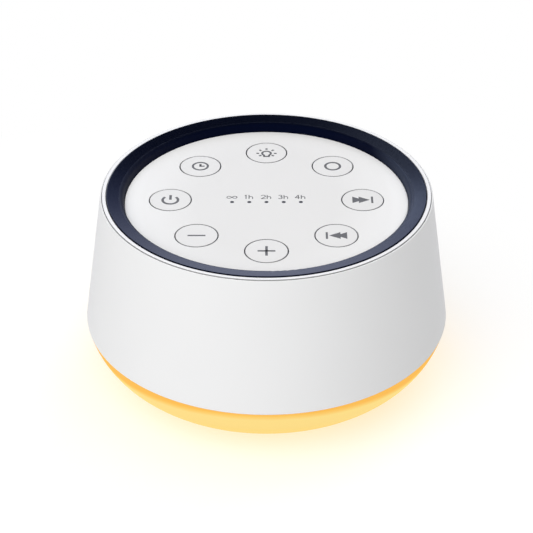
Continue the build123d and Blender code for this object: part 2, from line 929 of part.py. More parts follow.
# A place on the main board, by its share of the board's radius and its angle
def board_spot(share, angle):
    x = share * main_board_radius * cos(radians(angle))
    y = share * main_board_radius * sin(radians(angle))
    return Pos(x, y, 0)


def chip(length, width, height):
    low_z = main_board_top_z
    pad_inset = 4 * chip_leg_gap
    body = block(length, width, low_z + chip_leg_gap, low_z + height)
    pad = block(length - pad_inset, width - pad_inset, low_z, low_z + height)
    return chamfer(body.edges().group_by(Axis.Z)[-1], chip_leg_gap) + pad


def capacitors():
    low_z = main_board_top_z
    can = turned(
        [
            (0, low_z),
            (capacitor_radius, low_z),
            (capacitor_radius, low_z + capacitor_height),
            (0, low_z + capacitor_height),
        ],
        [0, 0, screw_cross, 0],
    )
    return [board_spot(*spot) * can for spot in capacitor_spots]


def power_coil():
    coil = block(coil_size, coil_size, main_board_top_z, main_board_top_z + coil_height)
    return board_spot(*coil_spot) * chamfer(coil.edges().filter_by(Axis.Z), screw_cross)


def connectors():
    low_z = main_board_top_z
    under_z = key_board_z - board_thick
    wired = block(plug_depth, plug_length, low_z, low_z + plug_height)
    for_lights = Pos(plug_x + plug_depth / 2, 0, 0) * wired
    for_speaker = Pos(-(plug_x - plug_depth / 2), speaker_lead_y, 0) * wired
    ribbon_spot = Pos(0, ribbon_plug_back - ribbon_plug_depth / 2, 0)
    ribbon_size = (ribbon_plug_width, ribbon_plug_depth)
    lower = ribbon_spot * block(*ribbon_size, low_z, low_z + ribbon_plug_height)
    upper = ribbon_spot * block(*ribbon_size, under_z - ribbon_plug_height, under_z)
    return [for_lights, for_speaker, lower, upper]


# Flat cable between the two boards, in one loop towards the front
def ribbon_cable():
    high_z = key_board_z - board_thick - ribbon_plug_height / 2
    low_z = main_board_top_z + ribbon_plug_height / 2
    near = ribbon_plug_back - ribbon_plug_depth
    far = near - ribbon_reach
    middle_z = (high_z + low_z) / 2
    loop_radius = (high_z - low_z) / 2
    bend_y = far + loop_radius

    def loop(radius):
        high, low = middle_z + radius, middle_z - radius
        bend = ThreePointArc((bend_y, high), (bend_y - radius, middle_z), (bend_y, low))
        return Line((near, high), (bend_y, high)) + bend + Line((bend_y, low), (near, low))

    outer = loop_radius + ribbon_thick / 2
    inner = loop_radius - ribbon_thick / 2
    ends = [
        Line((near, middle_z + outer), (near, middle_z + inner)),
        Line((near, middle_z - outer), (near, middle_z - inner)),
    ]
    face = make_face(loop(outer).edges() + loop(inner).edges() + ends)
    return extrude(Plane.YZ * face, ribbon_width / 2, both=True)


def power_socket_shell():
    mouth = Plane(origin=(0, plug_floor_y, socket_z), x_dir=(1, 0, 0), z_dir=(0, -1, 0))
    outside = extrude(mouth * SlotOverall(socket_width, socket_height), socket_length)
    inside_size = (socket_width - 2 * socket_skin, socket_height - 2 * socket_skin)
    inside = extrude(mouth * SlotOverall(*inside_size), socket_length - socket_skin)
    return outside - inside


def power_socket_tongue():
    back_y = plug_floor_y - socket_length + socket_skin
    back = Plane(origin=(0, back_y, socket_z), x_dir=(1, 0, 0), z_dir=(0, 1, 0))
    shrink = 2 * (socket_skin + touch_gap)
    root = extrude(back * SlotOverall(socket_width - shrink, socket_height - shrink), socket_root)
    length = socket_length - socket_skin - socket_tongue_inset
    return root + extrude(back * Rectangle(socket_tongue_width, socket_tongue_thick), length)


def speaker_leads():
    start_x = -frame_size / 2
    start_z = frame_z + frame_plate + tag_wire_share * terminal_height
    leads = []
    for side in (-1, 1):
        y = speaker_lead_y + side * wire_pitch / 2
        leads.append(wire([
            (start_x, y, start_z),
            (start_x - lead_run, y, start_z),
            (-lead_x, y, chamber_top_z - lead_turn_drop),
            (-lead_x, y, plug_wire_z),
            (-plug_x, y, plug_wire_z),
        ]))
    return leads


def light_leads():
    x = light_wire_x
    first = -(light_wire_count - 1) / 2
    leads = []
    for i in range(light_wire_count):
        y = (first + i) * light_wire_pitch
        end = (plug_x + plug_depth, y, plug_wire_z)
        leads.append(wire([(x, y, tub_flange_z), (x, y, plug_wire_z), end]))
    return leads


# ---- Screws ----


# Four hold the shell down on the tub's flange, and four hold the top cover on the shell's ledge
def case_screws():
    ledge_seat = ledge_top_z - ledge_thick
    ledge_grip = ledge_thick + ledge_bite() - touch_gap - screw_bite
    low = screws_at(at_corners(shell_boss_pitch), screw_radius, tub_flange_thick, tub_flange_z)
    high = screws_at(at_corners(cover_boss_pitch), screw_radius, ledge_grip, ledge_seat)
    return low + high


def base_screws():
    grip = tub_z - base_screw_seat_z
    return screws_at(base_screw_places(), screw_radius, grip, base_screw_seat_z)


def board_screws():
    main_grip = board_thick + main_post_bite() - touch_gap - screw_bite
    key_seat = key_board_z - board_thick
    upper = screws_at(at_posts(post_pitch_radius), small_screw_radius, board_thick, key_seat)
    lower = screws_down_at(main_board_places(), small_screw_radius, main_grip, main_board_top_z)
    return upper + lower


def lid_screws():
    return screws_down_at(at_corners(lid_boss_pitch), small_screw_radius, lid_thick, lid_top_z)


def speaker_screws():
    seat = frame_z + frame_plate
    grip = seat - tub_z - touch_gap - screw_bite
    return screws_down_at(frame_hole_places(), small_screw_radius, grip, seat)


pieces = {
    "outer_shell": outer_shell(),
    "top_cover": top_cover(),
    "trim_ring": trim_ring(),
    "key_panel": key_panel(),
    "light_pipe": light_pipe(),
    "indicator_leds": indicator_leds(),
    "key_board": key_board(),
    "switch_bodies": [place * switch_body() for place in key_places().values()],
    "board_screws": board_screws(),
    "diffuser_bowl": bowl(),
    "base_cover": base_cover(),
    "base_screws": base_screws(),
    "feet": [place * foot() for place in foot_places()],
    "reflector_tub": reflector_tub(),
    "chamber_lid": chamber_lid(),
    "lid_screws": lid_screws(),
    "case_screws": case_screws(),
    "light_board": light_board(),
    "night_leds": night_leds(),
    "light_leads": light_leads(),
    "speaker_gasket": speaker_gasket(),
    "speaker_basket": speaker_basket(),
    "speaker_front_plate": speaker_front_plate(),
    "speaker_magnet": speaker_magnet(),
    "speaker_yoke": speaker_yoke(),
    "speaker_terminal": speaker_terminal(),
    "speaker_spider": spider(),
    "speaker_surround": surround(),
    "speaker_cone": speaker_cone(),
    "speaker_dust_cap": dust_cap(),
    "voice_coil": voice_coil(),
    "speaker_leads": speaker_leads(),
    "speaker_screws": speaker_screws(),
    "main_board": main_board(),
    "controller_chip": board_spot(*controller_spot) * chip(*controller_box),
    "amplifier_chip": board_spot(*amplifier_spot) * chip(*amplifier_box),
    "memory_chip": board_spot(*memory_spot) * chip(*memory_box),
    "capacitors": capacitors(),
    "power_coil": power_coil(),
    "connectors": connectors(),
    "ribbon_cable": ribbon_cable(),
    "power_socket_shell": power_socket_shell(),
    "power_socket_tongue": power_socket_tongue(),
}
for name, place in key_places().items():
    pieces[f"key_{name}"] = place * key()
    pieces[f"plunger_{name}"] = place * switch_plunger()

os.makedirs("parts", exist_ok=True)
for name, piece in pieces.items():
    shape = Compound(piece) if isinstance(piece, list) else piece
    export_step(shape, f"parts/{name}.step")
print(len(pieces), "pieces")
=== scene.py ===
from math import cos, pi, radians, sin

import bmesh
import bpy
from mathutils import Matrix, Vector


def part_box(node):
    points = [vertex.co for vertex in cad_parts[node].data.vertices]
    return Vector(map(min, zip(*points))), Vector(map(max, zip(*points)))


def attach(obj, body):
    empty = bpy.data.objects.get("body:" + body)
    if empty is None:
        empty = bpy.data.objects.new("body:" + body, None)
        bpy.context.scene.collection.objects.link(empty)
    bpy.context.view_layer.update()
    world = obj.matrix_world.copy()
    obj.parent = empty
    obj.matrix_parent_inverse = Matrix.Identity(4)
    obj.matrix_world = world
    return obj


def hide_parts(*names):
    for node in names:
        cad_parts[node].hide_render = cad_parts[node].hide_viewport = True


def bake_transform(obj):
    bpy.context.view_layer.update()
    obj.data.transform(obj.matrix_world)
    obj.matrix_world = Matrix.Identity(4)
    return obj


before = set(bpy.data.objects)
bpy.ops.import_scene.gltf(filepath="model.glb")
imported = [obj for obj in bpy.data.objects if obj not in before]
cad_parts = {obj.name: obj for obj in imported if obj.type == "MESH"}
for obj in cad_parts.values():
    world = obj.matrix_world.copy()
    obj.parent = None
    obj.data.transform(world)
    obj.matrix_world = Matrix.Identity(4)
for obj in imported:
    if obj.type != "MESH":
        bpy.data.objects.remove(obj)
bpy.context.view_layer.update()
mm = 0.001


class Link:  # a node's output that can be reckoned with; each sign adds one Math node
    def __init__(self, nodes, socket):
        self.nodes, self.socket = nodes, socket

    def maths(self, operation, first, second):
        return self.nodes.node("ShaderNodeMath", {"operation": operation}, {0: first, 1: second})

    def either(self, other):
        return self.maths("MAXIMUM", self, other)

    def __add__(self, other):
        return self.maths("ADD", self, other)

    def __sub__(self, other):
        return self.maths("SUBTRACT", self, other)

    def __rsub__(self, other):
        return self.maths("SUBTRACT", other, self)

    def __mul__(self, other):
        return self.maths("MULTIPLY", self, other)

    def __gt__(self, other):
        return self.maths("GREATER_THAN", self, other)

    __radd__, __rmul__ = __add__, __mul__


class Nodes:  # one tree, and the one way that a node gets into it
    def __init__(self, tree):
        self.tree = tree
        tree.nodes.clear()

    def node(self, kind, settings=None, sockets=None, output=0):
        made = self.tree.nodes.new(kind)
        for name, value in (settings or {}).items():
            if name == "stops":
                setStops(made.color_ramp, value)
            else:
                setattr(made, name, value)
        for key, value in (sockets or {}).items():
            self.feed(made.inputs[key], value)
        return Link(self, made.outputs[output]) if made.outputs else made

    def mixed(self, factor, first, second):
        sockets = {0: factor, 6: first, 7: second}
        return self.node("ShaderNodeMix", {"data_type": "RGBA"}, sockets, 2)

    def ramp(self, factor, stops):
        return self.node("ShaderNodeValToRGB", {"stops": stops}, {0: factor})

    def feed(self, socket, value):  # a value, a link, or a list of links for a socket that joins them
        if isinstance(value, list):
            for link in value:
                self.feed(socket, link)
        elif isinstance(value, Link):
            self.tree.links.new(value.socket, socket)
        else:
            socket.default_value = value


def setStops(ramp, stops):
    while len(ramp.elements) < len(stops):
        ramp.elements.new(1.0)
    for element, (position, colour) in zip(ramp.elements, stops):
        element.position, element.color = position, colour


def paint(red, green, blue):  # screen values from 0 to 255
    def linear(value):
        value /= 255
        return value / 12.92 if value <= 0.04045 else ((value + 0.055) / 1.055) ** 2.4
    return linear(red), linear(green), linear(blue), 1.0


waveScale = 0.32    # the scale at which the bands of a Wave node come about once a metre


class Finish(Nodes):  # a material under construction, read in the piece's own coordinates
    def __init__(self, name):
        self.material = bpy.data.materials.new(name)
        self.material.use_nodes = True
        super().__init__(self.material.node_tree)
        self.place = self.node("ShaderNodeTexCoord", output="Object")

    def axis(self, letter):
        return self.node("ShaderNodeSeparateXYZ", {}, {0: self.place}, letter)

    def stretched(self, x, y, z):  # the piece's coordinates, with each axis at its own grain
        return self.node("ShaderNodeMapping", {}, {"Vector": self.place, "Scale": (x, y, z)})

    def noise(self, grain, detail=2.0, place=None):  # grain in mm
        sockets = {"Vector": place or self.place, "Scale": 1 / (grain * mm), "Detail": detail}
        return self.node("ShaderNodeTexNoise", {}, sockets)

    def waves(self, letter, pitch):  # soft bands along one axis, pitch in mm
        sockets = {"Vector": self.place, "Scale": waveScale / (pitch * mm)}
        return self.node("ShaderNodeTexWave", {"bands_direction": letter}, sockets, "Fac")

    def cells(self, feature, size, uneven):  # size in mm; even cells at 0, scattered ones at 1
        sockets = {"Vector": self.place, "Scale": 1 / (size * mm), "Randomness": uneven}
        return self.node("ShaderNodeTexVoronoi", {"feature": feature}, sockets, "Distance")

    def shaded(self, factor, colour, share):  # from a darker share of the colour to the colour
        dark = tuple(c * share for c in colour)
        return self.mixed(factor, paint(*dark), paint(*colour))

    def bloomed(self, factor, colour, more):  # from the colour to a paler one
        pale = tuple(c + more for c in colour)
        return self.mixed(factor, paint(*colour), paint(*pale))

    def bump(self, height, depth):  # depth in mm
        return self.node("ShaderNodeBump", {}, {"Height": height, "Distance": depth * mm})

    def close(self, sockets):
        shader = self.node("ShaderNodeBsdfPrincipled", {}, sockets)
        self.node("ShaderNodeOutputMaterial", {}, {"Surface": shader})
        return self.material


plasticLook = {  # what a moulded part's look says if its own doesn't
    "flow": 14.0,           # mm, the grain of its cloudiness
    "cloud": 0.975,         # how dark that gets, as a share of the colour
    "swing": 0.12,          # how far the roughness differs from place to place
    "gloss": 0.4,
    "sheenTint": (255, 255, 255),
    "coat": 0.0,
    "coatRough": 0.2,
}


def mouldedPlastic(name, look):
    # fine spark-eroded skin of a moulded part, with a faint cloudiness from its flow
    finish = Finish(name)
    look = {**plasticLook, **look}
    skin = finish.noise(look["grain"], 3.0)
    flow = finish.noise(look["flow"], 1.0)
    cover = finish.shaded(flow, look["colour"], look["cloud"])
    if "faceOf" in look:
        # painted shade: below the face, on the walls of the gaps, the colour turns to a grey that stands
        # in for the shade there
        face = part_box(look["faceOf"])[1].z - look["sprayed"] * mm
        cover = finish.mixed(finish.axis("Z") > face, paint(*look["bare"]), cover)
    # painted light: a paler colour laid over the coat away from one spot
    if "aside" in look:
        cover = paintedLightAside(finish, cover, look["aside"])
    rough = skin * look["swing"] + (look["rough"] - look["swing"] / 2)
    if "mattBelow" in look:
        # coarser below the first height than above the second, and graded between them
        full, none = look["mattBelow"]
        heights = {"From Min": full * mm, "From Max": none * mm, "To Min": 1.0, "To Max": 0.0}
        matt = finish.node("ShaderNodeMapRange", {}, {"Value": finish.axis("Z"), **heights})
        rough = matt * look["coarser"] + rough
    return finish.close({
        "Base Color": cover,
        "Roughness": rough,
        "Specular IOR Level": look["gloss"],
        "Specular Tint": paint(*look["sheenTint"]),
        "Coat Weight": look["coat"],
        "Coat Roughness": look["coatRough"],
        "Normal": finish.bump(skin, look["depth"]),
    })


def paintedLightAside(finish, cover, aside):
    # painted light: below a height the coat turns to another, paler colour away from one spot, over the
    # painted gap shade too
    x, y = aside["spot"]
    spread = finish.node("ShaderNodeMapping", {}, {
        "Vector": finish.place, "Location": (-x * mm, -y * mm, 0), "Scale": (1, aside["flatter"], 0),
    })
    far = finish.node("ShaderNodeVectorMath", {"operation": "LENGTH"}, {0: spread}, "Value")
    stops = [(at, (grey, grey, grey, 1.0)) for at, grey in aside["share"]]
    share = finish.ramp(far * (1 / (aside["reach"] * mm)), stops)
    under = 1 - (finish.axis("Z") > aside["below"] * mm)
    return finish.mixed(share * under, cover, paint(*aside["colour"]))


def bareMetal(name, look):
    # drawn or turned metal: fine lines along one axis, and cloudy wear between them
    finish = Finish(name)
    lines = finish.noise(look["grain"], 4.0, finish.stretched(*look["lines"]))
    wear = finish.noise(2.5) * 0.6 + lines * 0.4
    return finish.close({
        "Base Color": finish.shaded(wear, look["colour"], 0.8),
        "Metallic": look.get("metal", 1.0),
        "Roughness": lines * 0.25 + look["rough"],
        "Normal": finish.bump(lines, look["depth"]),
    })


def circuitBoard(name, look):
    # solder mask over copper runs, with tinned pads showing as small bright dots
    finish = Finish(name)
    runs = finish.node(
        "ShaderNodeTexBrick",
        {"offset": 0.37, "offset_frequency": 3},
        {
            "Vector": finish.place, "Scale": 1 / (look["pitch"] * mm), "Mortar Size": 0.035,
            "Mortar Smooth": 0.3, "Brick Width": 2.7, "Row Height": 0.62,
        },
        "Fac",
    )
    spots = finish.cells("F1", look["padPitch"], 0.8)
    pads = spots * -1.0 + look["padRadius"] > 0.0
    mask = finish.mixed(runs, paint(*look["mask"]), paint(*look["run"]))
    return finish.close({
        "Base Color": finish.mixed(pads, mask, paint(*look["pad"])),
        "Metallic": pads * 0.85,
        "Roughness": pads * -0.1 + 0.34,
        "Coat Weight": (1 - pads) * 0.3,
        "Coat Roughness": 0.15,
        "Normal": finish.bump(runs + pads, 0.03),
    })


def wovenCloth(name, look):
    # two sets of threads that cross at right angles
    finish = Finish(name)
    weave = finish.waves("X", look["pitch"]) * finish.waves("Y", look["pitch"])
    return finish.close({
        "Base Color": finish.shaded(weave, look["colour"], 0.6),
        "Roughness": 0.85,
        "Sheen Weight": 0.3,
        "Normal": finish.bump(weave, 0.08),
    })


def fibrePaper(name, look):
    # pressed fibres: long soft streaks over a mottled ground
    finish = Finish(name)
    fibres = finish.noise(0.9, 5.0, finish.stretched(1.0, 3.0, 1.0))
    mottle = fibres * 0.6 + finish.noise(3.5) * 0.4
    return finish.close({
        "Base Color": finish.shaded(mottle, look["colour"], 0.7),
        "Roughness": fibres * 0.15 + 0.75,
        "Normal": finish.bump(fibres, 0.06),
    })


def softRubber(name, look):
    # matt skin with a bloom that dulls it in patches
    finish = Finish(name)
    skin = finish.noise(look["grain"], 4.0)
    bloom = finish.noise(2.0)
    return finish.close({
        "Base Color": finish.bloomed(bloom, look["colour"], 16),
        "Roughness": bloom * 0.2 + 0.62,
        "Specular IOR Level": 0.35,
        "Normal": finish.bump(skin, look["depth"]),
    })


def openFoam(name, look):
    # pale walls between dark open cells
    finish = Finish(name)
    cells = finish.cells("DISTANCE_TO_EDGE", look["cell"], 1.0)
    return finish.close({
        "Base Color": finish.ramp(cells, [(0.0, paint(*look["colour"])), (0.35, paint(*look["hole"]))]),
        "Roughness": 0.95,
        "Normal": finish.bump(cells * -1.0, 0.15),
    })


def woundCopper(name, look):
    # enamelled wire laid turn on turn up the coil
    finish = Finish(name)
    turns = finish.waves("Z", look["wire"])
    return finish.close({
        "Base Color": finish.shaded(turns, look["colour"], 0.55),
        "Metallic": 0.9,
        "Roughness": turns * -0.1 + 0.38,
        "Normal": finish.bump(turns, look["wire"] * 0.5),
    })


def wireSkin(name, look):
    # soft plastic drawn over a wire, a little streaky
    finish = Finish(name)
    skin = finish.noise(0.5, 3.0)
    return finish.close({
        "Base Color": finish.shaded(skin, look["colour"], 0.85),
        "Roughness": skin * 0.2 + 0.3,
        "Normal": finish.bump(skin, 0.02),
    })


def flatCable(name, look):
    # side by side cores, each a round ridge, with one marked core
    finish = Finish(name)
    cores = finish.waves("X", look["pitch"])
    plain = finish.shaded(cores, look["colour"], 0.8)
    marked = finish.axis("X") > look["markFrom"] * mm
    return finish.close({
        "Base Color": finish.mixed(marked, plain, paint(*look["mark"])),
        "Roughness": cores * -0.1 + 0.5,
        "Normal": finish.bump(cores, 0.2),
    })


def litBowl(name, look):
    # milky plastic with the night light on behind it: deepest amber where the wall meets the shell
    finish = Finish(name)
    low, high = look["low"] * mm, look["high"] * mm
    height = (finish.axis("Z") - low) * (1 / (high - low))
    # painted shade: the amber deepens towards the left and right sides
    paintedSideAmber = finish.axis("X") * finish.axis("X") * look["sideDepth"]
    cloud = finish.noise(9.0)
    stops = [(at, paint(*c)) for at, c in look["glow"]]
    glow = finish.ramp(height + paintedSideAmber + (cloud - 0.5) * look["cloudDepth"], stops)
    skin = finish.noise(0.25, 3.0)
    return finish.close({
        "Base Color": finish.mixed(cloud, paint(*look["milk"]), paint(*look["milkShade"])),
        "Roughness": skin * 0.1 + 0.6,
        "Specular IOR Level": 0.03,
        "Emission Color": glow,
        "Emission Strength": look["strength"],
        "Normal": finish.bump(skin, 0.01),
    })


def smokedPipe(name, look):
    # the dark clear tops of the timer lights, unlit
    finish = Finish(name)
    depth = finish.noise(0.6)
    return finish.close({
        "Base Color": finish.bloomed(depth, look["colour"], 18),
        "Roughness": depth * 0.1 + 0.3,
        "Specular IOR Level": 0.2,
        "Normal": finish.bump(depth, 0.01),
    })


def screenInk(name, look):
    # printed ink: flat, slightly uneven in cover
    finish = Finish(name)
    cover = finish.noise(0.35, 3.0)
    return finish.close({
        "Base Color": finish.bloomed(cover, look["colour"], 14),
        "Roughness": cover * 0.15 + 0.5,
        "Specular IOR Level": 0.25,
        "Normal": finish.bump(cover, 0.004),
    })


boardLook = {"pitch": 3.4, "padPitch": 2.2, "padRadius": 0.16, "pad": (196, 190, 172)}
looks = {  # by the slot's name; sizes in mm, and heights in mm from the table
    "white_plastic": (mouldedPlastic, {
        "colour": (242, 242, 242), "rough": 0.5, "gloss": 0.22, "grain": 0.22, "depth": 0.008,
        "flow": 22.0, "cloud": 0.99,
    }),
    "panel_white": (mouldedPlastic, {
        "colour": (236, 235, 234), "rough": 0.5, "gloss": 0.22, "grain": 0.2, "depth": 0.006,
        # painted shade: grey on the panel's walls below its face, in the gaps round the keys and at its
        # rim
        "flow": 18.0, "cloud": 0.99, "faceOf": "key_panel", "sprayed": 0.015, "bare": (140, 140, 142),
        # painted light: the panel turns paler towards its left and right rim, against the shade that the
        # ring's wall casts there
        "aside": {
            "spot": (0, 0), "flatter": 0.72, "reach": 42.3, "below": 100.0, "colour": (255, 255, 255),
            "share": [(0.5, 0.0), (0.7, 0.25), (0.86, 0.5), (0.97, 1.0)],
        },
    }),
    "key_white": (mouldedPlastic, {
        "colour": (236, 235, 234), "rough": 0.46, "gloss": 0.22, "grain": 0.2, "depth": 0.006,
        # painted shade: grey on the keys' side walls below their face, in the gaps
        "flow": 9.0, "cloud": 0.99, "faceOf": "key_light", "sprayed": 0.015, "bare": (140, 140, 142),
    }),
    "navy_plastic": (mouldedPlastic, {
        "colour": (4, 7, 23), "rough": 0.22, "gloss": 0.2, "grain": 0.16, "depth": 0.003,
        "cloud": 0.9, "sheenTint": (40, 70, 150), "mattBelow": (60.95, 61.2), "coarser": 0.42,
        # painted light: the ring's inner wall turns paler on the right side
        "aside": {
            "spot": (-30, 0), "flatter": 1.0, "reach": 74.0, "below": 61.05, "colour": (46, 52, 66),
            "share": [(0.925, 0.0), (0.975, 1.0)],
        },
    }),
    "reflector_white": (mouldedPlastic, {
        "colour": (243, 243, 240), "rough": 0.35, "gloss": 0.5, "grain": 0.3, "depth": 0.006,
    }),
    "plunger_plastic": (mouldedPlastic, {
        "colour": (52, 52, 54), "rough": 0.4, "grain": 0.2, "depth": 0.008,
    }),
    "black_plastic": (mouldedPlastic, {
        "colour": (30, 30, 32), "rough": 0.45, "grain": 0.15, "depth": 0.01, "cloud": 0.8,
    }),
    "connector_white": (mouldedPlastic, {
        "colour": (228, 224, 210), "rough": 0.42, "grain": 0.25, "depth": 0.01,
    }),
    "led_body": (mouldedPlastic, {
        "colour": (236, 214, 120), "rough": 0.3, "grain": 0.3, "depth": 0.006, "cloud": 0.85,
        "coat": 0.4,
    }),
    "diffuser": (litBowl, {
        "low": 1.5, "high": 19.65, "strength": 0.86,
        "glow": [
            (0.0, (255, 217, 124)), (0.5, (255, 221, 131)), (0.62, (255, 223, 137)),
            (0.86, (255, 225, 140)), (0.95, (255, 203, 99)), (1.0, (255, 189, 79)),
        ],
        # painted shade: the amber deepens towards the left and right sides
        "sideDepth": 90.0,      # how much deeper the amber gets with the square of the way out
        "cloudDepth": 0.04,     # and how much it wavers
        "milk": (118, 98, 58), "milkShade": (110, 90, 52),
    }),
    "clear_plastic": (smokedPipe, {"colour": (26, 26, 28)}),
    "foot_rubber": (softRubber, {"colour": (58, 58, 60), "grain": 0.35, "depth": 0.03}),
    "black_rubber": (softRubber, {"colour": (26, 26, 28), "grain": 0.3, "depth": 0.02}),
    "screw_steel": (bareMetal, {
        "colour": (196, 196, 198), "rough": 0.24, "grain": 0.3, "depth": 0.006,
        "lines": (1.0, 1.0, 5.0),
    }),
    "plate_steel": (bareMetal, {
        "colour": (186, 188, 190), "rough": 0.28, "grain": 0.5, "depth": 0.008,
        "lines": (1.0, 6.0, 1.0),
    }),
    "black_steel": (bareMetal, {
        "colour": (38, 38, 40), "rough": 0.36, "grain": 0.4, "depth": 0.01, "metal": 0.4,
        "lines": (1.0, 1.0, 3.0),
    }),
    "socket_steel": (bareMetal, {
        "colour": (200, 200, 202), "rough": 0.2, "grain": 0.25, "depth": 0.004,
        "lines": (6.0, 1.0, 6.0),
    }),
    "can_aluminium": (bareMetal, {
        "colour": (206, 206, 208), "rough": 0.24, "grain": 0.3, "depth": 0.006,
        "lines": (1.0, 1.0, 6.0),
    }),
    "ferrite": (bareMetal, {
        "colour": (50, 50, 53), "rough": 0.62, "grain": 0.35, "depth": 0.02, "metal": 0.0,
        "lines": (1.0, 1.0, 1.0),
    }),
    "foam": (openFoam, {"colour": (70, 70, 73), "hole": (24, 24, 26), "cell": 0.6}),
    "spider_cloth": (wovenCloth, {"colour": (190, 150, 84), "pitch": 0.5}),
    "paper": (fibrePaper, {"colour": (54, 52, 50)}),
    "tag_board": (fibrePaper, {"colour": (150, 112, 70)}),
    "copper": (woundCopper, {"colour": (214, 128, 78), "wire": 0.2}),
    "board_green": (circuitBoard, {**boardLook, "mask": (18, 84, 48), "run": (34, 116, 66)}),
    "board_white": (circuitBoard, {**boardLook, "mask": (232, 232, 226), "run": (218, 218, 208)}),
    "wire_black": (wireSkin, {"colour": (34, 34, 36)}),
    "wire_white": (wireSkin, {"colour": (228, 228, 226)}),
    "ribbon_grey": (flatCable, {
        "colour": (176, 178, 182), "pitch": 1.0, "markFrom": 5.0, "mark": (170, 40, 38),
    }),
}
coverLook = {
    **looks["white_plastic"][1],
    # painted shade: grey on the cover's outer wall below its face, in the gap under the lip
    "colour": (248, 248, 250), "faceOf": "top_cover", "sprayed": 0.04, "bare": (166, 166, 167),
}
finishes = {slot: make(slot + "_finish", look) for slot, (make, look) in looks.items()}
coverFinish = mouldedPlastic("cover_finish", coverLook)
for name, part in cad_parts.items():
    for holder in part.material_slots:
        holder.material = coverFinish if name == "top_cover" else finishes[holder.material.name]
inkLook = {"colour": (100, 100, 102)}
keyInk = screenInk("key_ink", inkLook)
labelInk = screenInk("label_ink", inkLook)
print("finishes:", len(finishes))


def shapeTree(name, sizes):
    # a tree with the piece's own geometry and named sizes going in, and its mesh coming out
    tree = bpy.data.node_groups.new(name, "GeometryNodeTree")
    tree.interface.new_socket("Geometry", in_out="INPUT", socket_type="NodeSocketGeometry")
    for label, value in sizes.items():
        kind = "NodeSocketInt" if isinstance(value, int) else "NodeSocketFloat"
        socket = tree.interface.new_socket(label, in_out="INPUT", socket_type=kind)
        socket.default_value = value
    tree.interface.new_socket("Geometry", in_out="OUTPUT", socket_type="NodeSocketGeometry")
    nodes = Nodes(tree)
    entry = nodes.node("NodeGroupInput").socket.node
    inputs = {socket.name: Link(nodes, socket) for socket in entry.outputs if socket.name}
    return nodes, inputs


def endTree(nodes, shape, material):
    whole = nodes.node("GeometryNodeRealizeInstances", {}, {0: shape})
    coated = nodes.node("GeometryNodeSetMaterial", {}, {"Geometry": whole, "Material": material})
    nodes.node("NodeGroupOutput", {}, {0: coated})


def grown(name, seedData, nodes, sizes):
    # runs the tree on the seed once, and keeps what it makes as a plain mesh
    seed = bpy.data.objects.new(name + "_seed", seedData)
    bpy.context.scene.collection.objects.link(seed)
    modifier = seed.modifiers.new("shape", "NODES")
    modifier.node_group = nodes.tree
    for socket in nodes.tree.interface.items_tree:
        if socket.in_out == "INPUT" and socket.name in sizes:
            modifier[socket.identifier] = sizes[socket.name]
    ready = seed.evaluated_get(bpy.context.evaluated_depsgraph_get())
    mesh = bpy.data.meshes.new_from_object(ready)
    bpy.data.objects.remove(seed)
    return placed(name, mesh)


def placed(name, mesh):
    mesh.name = name
    piece = bpy.data.objects.new(name, mesh)
    bpy.context.scene.collection.objects.link(piece)
    return piece


prints = {  # mm
    "film": 0.03,       # how thick the ink is, of which a third is in the key's skin
    "sunk": 0.01,
    "labelStroke": 0.29,
    "arcStep": 6.0,     # degrees between the points of an arc
    "meet": 0.001,      # ends as close as this are one point
}


def arc(x, y, radius, start, end):
    count = max(2, round(abs(end - start) / prints["arcStep"]))
    angles = [radians(start + (end - start) * i / count) for i in range(count + 1)]
    return [(x + radius * cos(a), y + radius * sin(a)) for a in angles]


def shifted(points, x, y):
    return [(x + px, y + py) for px, py in points]


def strokeTree(sizes):
    # lays a flat band of ink along every curve
    nodes, inputs = shapeTree("inkStrokes", sizes)
    upright = nodes.node("GeometryNodeSetCurveNormal", {"mode": "Z_UP"}, {"Curve": inputs["Geometry"]})
    section = nodes.node(
        "GeometryNodeCurvePrimitiveQuadrilateral", {},
        {"Width": inputs["Stroke Width"], "Height": inputs["Film Thickness"]},
    )
    swept = nodes.node(
        "GeometryNodeCurveToMesh", {}, {"Curve": upright, "Profile Curve": section, "Fill Caps": True}
    )
    flat = nodes.node("GeometryNodeSetShadeSmooth", {}, {"Geometry": swept, "Shade Smooth": False})
    return nodes, flat


def inkStrokes(name, strokes, centre, width, ink):
    # strokes are lists of points in mm round the centre; a stroke that ends where it starts is a ring
    curve = bpy.data.curves.new(name, "CURVE")
    curve.dimensions = "3D"
    height = centre.z + (prints["film"] / 2 - prints["sunk"]) * mm
    for points in strokes:
        closed = (Vector(points[0]) - Vector(points[-1])).length < prints["meet"]
        points = points[:-1] if closed else points
        spline = curve.splines.new("POLY")
        spline.points.add(len(points) - 1)
        spline.use_cyclic_u = closed
        for point, (x, y) in zip(spline.points, points):
            point.co = (centre.x + x * mm, centre.y + y * mm, height, 1.0)
    sizes = {"Stroke Width": width * mm, "Film Thickness": prints["film"] * mm}
    nodes, flat = strokeTree(sizes)
    endTree(nodes, flat, ink)
    return grown(name, curve, nodes, sizes)


def inkShapes(name, outlines, centre, ink):
    # filled shapes: each outline, clockwise from above, becomes a thin closed slab
    low = centre.z - prints["sunk"] * mm
    corners, faces = [], []
    for outline in outlines:
        under = list(range(len(corners), len(corners) + len(outline)))
        over = [corner + len(outline) for corner in under]
        for height in (low, low + prints["film"] * mm):
            corners += [(centre.x + x * mm, centre.y + y * mm, height) for x, y in outline]
        faces += [under, over[::-1]]
        for i in range(len(outline)):
            faces.append((under[i], under[i - 1], over[i - 1], over[i]))
    mesh = bpy.data.meshes.new(name)
    mesh.from_pydata(corners, [], faces)
    mesh.materials.append(ink)
    return placed(name, mesh)


